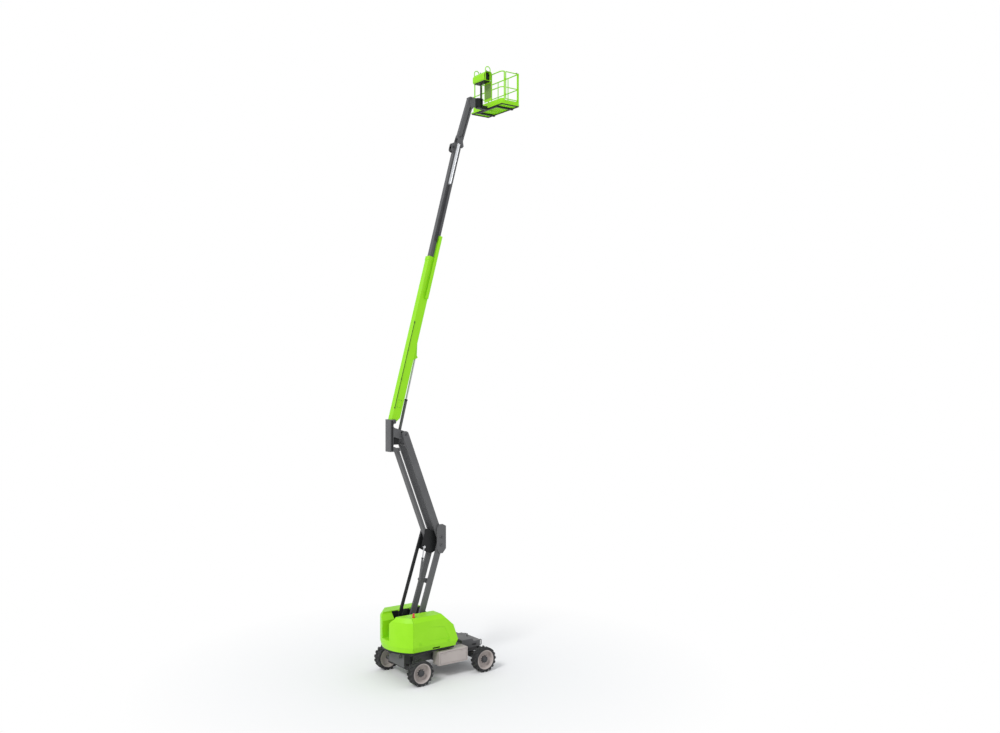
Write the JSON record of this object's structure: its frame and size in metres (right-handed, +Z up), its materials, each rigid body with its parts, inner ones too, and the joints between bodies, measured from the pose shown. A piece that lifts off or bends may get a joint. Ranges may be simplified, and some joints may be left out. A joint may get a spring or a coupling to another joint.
{
  "type": "articulating boom lift",
  "caption": "Self-propelled articulating boom lift on lugged wheels: slewing turret, folding riser, telescoping main boom, jib and railed work platform.",
  "frame": {"origin": "on the ground, midway between the four wheels", "axes": "+X the way the booms reach and the front of the chassis, +Y its left, +Z up"},
  "size_m": [4.8293, 2.461, 20.7682],
  "materials": {
    "grey_paint": "satin",
    "black_paint": "satin",
    "tan_paint": "satin",
    "lime_paint": "gloss",
    "tyre_rubber": "matte",
    "chromed_rod": "polished",
    "black_plastic": "matte",
    "red_lens": "gloss"
  },
  "bodies": {
    "chassis": {"chassis_frame": "grey_paint", "steer_axle": "black_paint", "drive_axle": "black_paint", "side_boxes": "tan_paint", "slew_ring": "black_paint"},
    "knuckle_right": {"knuckle_right": "grey_paint"},
    "knuckle_left": {"knuckle_left": "grey_paint"},
    "tie_rod": {"tie_rod": "black_paint"},
    "wheel_rear_right": {"tyre_rear_right": "tyre_rubber", "rim_rear_right": "tan_paint"},
    "wheel_rear_left": {"tyre_rear_left": "tyre_rubber", "rim_rear_left": "tan_paint"},
    "wheel_front_right": {"tyre_front_right": "tyre_rubber", "rim_front_right": "tan_paint"},
    "wheel_front_left": {"tyre_front_left": "tyre_rubber", "rim_front_left": "tan_paint"},
    "turntable": {"turntable": "grey_paint", "counterweight": "lime_paint", "power_pack": "black_paint"},
    "hood_right": {"hood_right": "lime_paint", "beacon": "red_lens"},
    "hood_left": {"hood_left": "lime_paint"},
    "lower_arms": {"lower_arms": "grey_paint"},
    "lower_link": {"lower_link": "black_paint"},
    "mid_link": {"mid_link": "grey_paint"},
    "upper_arms": {"upper_arms": "grey_paint"},
    "upper_link": {"upper_link": "black_paint"},
    "riser_barrel": {"riser_barrel": "black_paint"},
    "riser_rod": {"riser_rod": "chromed_rod"},
    "upright": {"upright": "grey_paint"},
    "main_boom": {"main_boom": "lime_paint", "cable_tray": "lime_paint"},
    "lift_barrel": {"lift_barrel": "black_paint"},
    "lift_rod": {"lift_rod": "chromed_rod"},
    "tele_boom": {"tele_boom": "grey_paint", "cable_track": "black_plastic"},
    "jib_base": {"jib_base": "grey_paint"},
    "jib_arm": {"jib_arm": "grey_paint"},
    "jib_link": {"jib_link": "grey_paint"},
    "jib_head": {"jib_head": "grey_paint"},
    "platform": {"platform_support": "black_paint", "platform_floor": "lime_paint", "platform_rails": "lime_paint", "control_console": "lime_paint"},
    "gate": {"gate": "lime_paint"}
  },
  "joints": [
    {"name": "steer_right", "type": "hinge", "parent": "chassis", "child": "knuckle_right", "pos_m": [-1.25, -0.8, 0.41], "axis": [0, 0, 1], "range_deg": [-35, 35]},
    {"name": "steer_left", "type": "hinge", "parent": "chassis", "child": "knuckle_left", "pos_m": [-1.25, 0.8, 0.41], "axis": [0, 0, 1], "range_deg": [-36, 36]},
    {"name": "tie_rod_slide", "type": "slide", "parent": "chassis", "child": "tie_rod", "axis": [0, 1, 0], "range_m": [-0.16, 0.16]},
    {"name": "wheel_rear_right", "type": "hinge", "parent": "knuckle_right", "child": "wheel_rear_right", "pos_m": [-1.25, -1.073, 0.41], "axis": [0, 1, 0], "continuous": true},
    {"name": "wheel_rear_left", "type": "hinge", "parent": "knuckle_left", "child": "wheel_rear_left", "pos_m": [-1.25, 1.073, 0.41], "axis": [0, 1, 0], "continuous": true},
    {"name": "wheel_front_right", "type": "hinge", "parent": "chassis", "child": "wheel_front_right", "pos_m": [1.25, -1.073, 0.41], "axis": [0, 1, 0], "continuous": true},
    {"name": "wheel_front_left", "type": "hinge", "parent": "chassis", "child": "wheel_front_left", "pos_m": [1.25, 1.073, 0.41], "axis": [0, 1, 0], "continuous": true},
    {"name": "slew", "type": "hinge", "parent": "chassis", "child": "turntable", "pos_m": [-0.65, 0, 0.965], "axis": [0, 0, 1], "range_deg": [-177.5, 177.5]},
    {"name": "hood_right_lid", "type": "hinge", "parent": "turntable", "child": "hood_right", "pos_m": [-0.9, -0.4, 2.1], "axis": [-1, 0, 0], "range_deg": [0, 60]},
    {"name": "hood_left_lid", "type": "hinge", "parent": "turntable", "child": "hood_left", "pos_m": [-0.9, 0.4, 2.1], "axis": [1, 0, 0], "range_deg": [0, 60]},
    {"name": "riser_lift", "type": "hinge", "parent": "turntable", "child": "lower_arms", "pos_m": [-0.8, 0, 1.75], "axis": [0, -1, 0], "range_deg": [-71, 0]},
    {"name": "lower_link_pivot", "type": "hinge", "parent": "turntable", "child": "lower_link", "pos_m": [-1.23, 0, 2.23], "axis": [0, -1, 0], "range_deg": [-72, 1]},
    {"name": "mid_link_level", "type": "hinge", "parent": "lower_arms", "child": "mid_link", "pos_m": [0.02817, 0, 4.29883], "axis": [0, -1, 0], "range_deg": [-1, 72]},
    {"name": "upper_arms_fold", "type": "hinge", "parent": "mid_link", "child": "upper_arms", "pos_m": [0.03817, 0, 4.55883], "axis": [0, -1, 0], "range_deg": [-1, 69]},
    {"name": "upper_link_fold", "type": "hinge", "parent": "mid_link", "child": "upper_link", "pos_m": [-0.17683, 0, 4.05883], "axis": [0, -1, 0], "range_deg": [-1, 69]},
    {"name": "upright_level", "type": "hinge", "parent": "upper_arms", "child": "upright", "pos_m": [-1.30213, 0, 8.05042], "axis": [0, -1, 0], "range_deg": [-69, 1]},
    {"name": "riser_barrel_pivot", "type": "hinge", "parent": "lower_arms", "child": "riser_barrel", "pos_m": [-0.70788, -0.158, 3.19527], "axis": [0, -1, 0], "range_deg": [-40, 1]},
    {"name": "riser_rod_slide", "type": "slide", "parent": "riser_barrel", "child": "riser_rod", "axis": [0.1648, 0, 0.9863], "range_m": [-0.27, 0.01]},
    {"name": "boom_luff", "type": "hinge", "parent": "upright", "child": "main_boom", "pos_m": [-1.68213, 0, 8.48042], "axis": [0, -1, 0], "range_deg": [-75, 0]},
    {"name": "lift_barrel_pivot", "type": "hinge", "parent": "upright", "child": "lift_barrel", "pos_m": [-1.40013, 0, 8.12042], "axis": [0, -1, 0], "range_deg": [-76, 1]},
    {"name": "lift_rod_slide", "type": "slide", "parent": "lift_barrel", "child": "lift_rod", "axis": [0.2423, 0, 0.9702], "range_m": [-0.58, 0.01]},
    {"name": "boom_extend", "type": "slide", "parent": "main_boom", "child": "tele_boom", "axis": [0.2588, 0, 0.9659], "range_m": [-3.6, 0]},
    {"name": "jib_base_level", "type": "hinge", "parent": "tele_boom", "child": "jib_base", "pos_m": [0.92906, 0, 17.97823], "axis": [0, -1, 0], "range_deg": [-1, 76]},
    {"name": "jib_lift", "type": "hinge", "parent": "jib_base", "child": "jib_arm", "pos_m": [0.96906, 0, 18.20123], "axis": [0, -1, 0], "range_deg": [-130, 0]},
    {"name": "jib_link_pivot", "type": "hinge", "parent": "jib_base", "child": "jib_link", "pos_m": [1.02906, 0, 17.88123], "axis": [0, -1, 0], "range_deg": [-131, 1]},
    {"name": "jib_head_level", "type": "hinge", "parent": "jib_arm", "child": "jib_head", "pos_m": [1.42331, 0, 19.59928], "axis": [0, -1, 0], "range_deg": [-1, 131]},
    {"name": "platform_swing", "type": "hinge", "parent": "jib_head", "child": "platform", "pos_m": [1.78931, 0, 19.59928], "axis": [0, 0, 1], "range_deg": [-80, 80]},
    {"name": "gate_swing", "type": "hinge", "parent": "platform", "child": "gate", "pos_m": [2.33131, -0.893, 19.98128], "axis": [0, 0, 1], "range_deg": [0, 85]}
  ],
  "couplings": [
    {"joint": "steer_left", "follows": "steer_right", "ratio": 1},
    {"joint": "tie_rod_slide", "follows": "steer_right", "m_per_rad": 0.23474},
    {"joint": "lower_link_pivot", "follows": "riser_lift", "ratio": 1},
    {"joint": "mid_link_level", "follows": "riser_lift", "ratio": -1},
    {"joint": "upper_arms_fold", "follows": "riser_lift", "ratio": -0.95775},
    {"joint": "upper_link_fold", "follows": "riser_lift", "ratio": -0.95775},
    {"joint": "upright_level", "follows": "riser_lift", "ratio": 0.95775},
    {"joint": "riser_barrel_pivot", "follows": "riser_lift", "ratio": 0.53027},
    {"joint": "riser_rod_slide", "follows": "riser_lift", "m_per_rad": 0.2003},
    {"joint": "lift_barrel_pivot", "follows": "boom_luff", "ratio": 0.9985},
    {"joint": "lift_rod_slide", "follows": "boom_luff", "m_per_rad": 0.42533},
    {"joint": "jib_base_level", "follows": "boom_luff", "ratio": -1},
    {"joint": "jib_link_pivot", "follows": "jib_lift", "ratio": 1},
    {"joint": "jib_head_level", "follows": "jib_lift", "ratio": -1}
  ]
}
